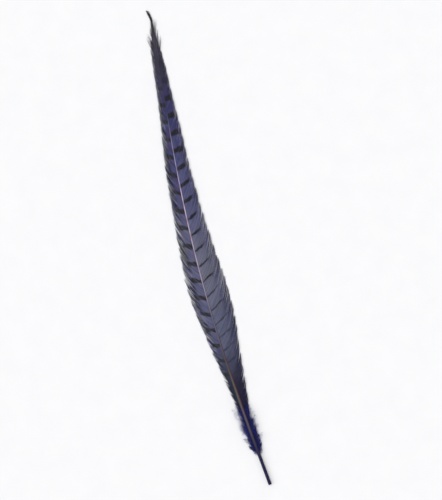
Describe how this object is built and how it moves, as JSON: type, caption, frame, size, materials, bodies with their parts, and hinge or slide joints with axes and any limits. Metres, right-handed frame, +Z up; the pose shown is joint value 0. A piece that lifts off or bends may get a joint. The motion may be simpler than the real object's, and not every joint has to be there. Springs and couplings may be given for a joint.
{
  "type": "pheasant tail feather",
  "caption": "Long, gently bowed tail feather lying face up: tapering shaft, a barred vane on each side that parts into locks at its rim, downy base and square-cut hollow quill.",
  "frame": {"origin": "centre of the feather's bounding box in plan, on the surface that it lies on", "axes": "+Y along the feather from the cut quill to the tip, +Z up out of the face of the vane, +X towards the wider vane"},
  "size_m": [0.0328, 0.4002, 0.0051],
  "materials": {
    "vane": "matt barbs with a soft sheen, blue-violet with dark bars",
    "shaft": "smooth satin keratin, pinkish above and dark towards the quill",
    "down": "soft, matt, dark royal blue"
  },
  "bodies": {
    "root": {"feather": "vane"}
  },
  "joints": []
}
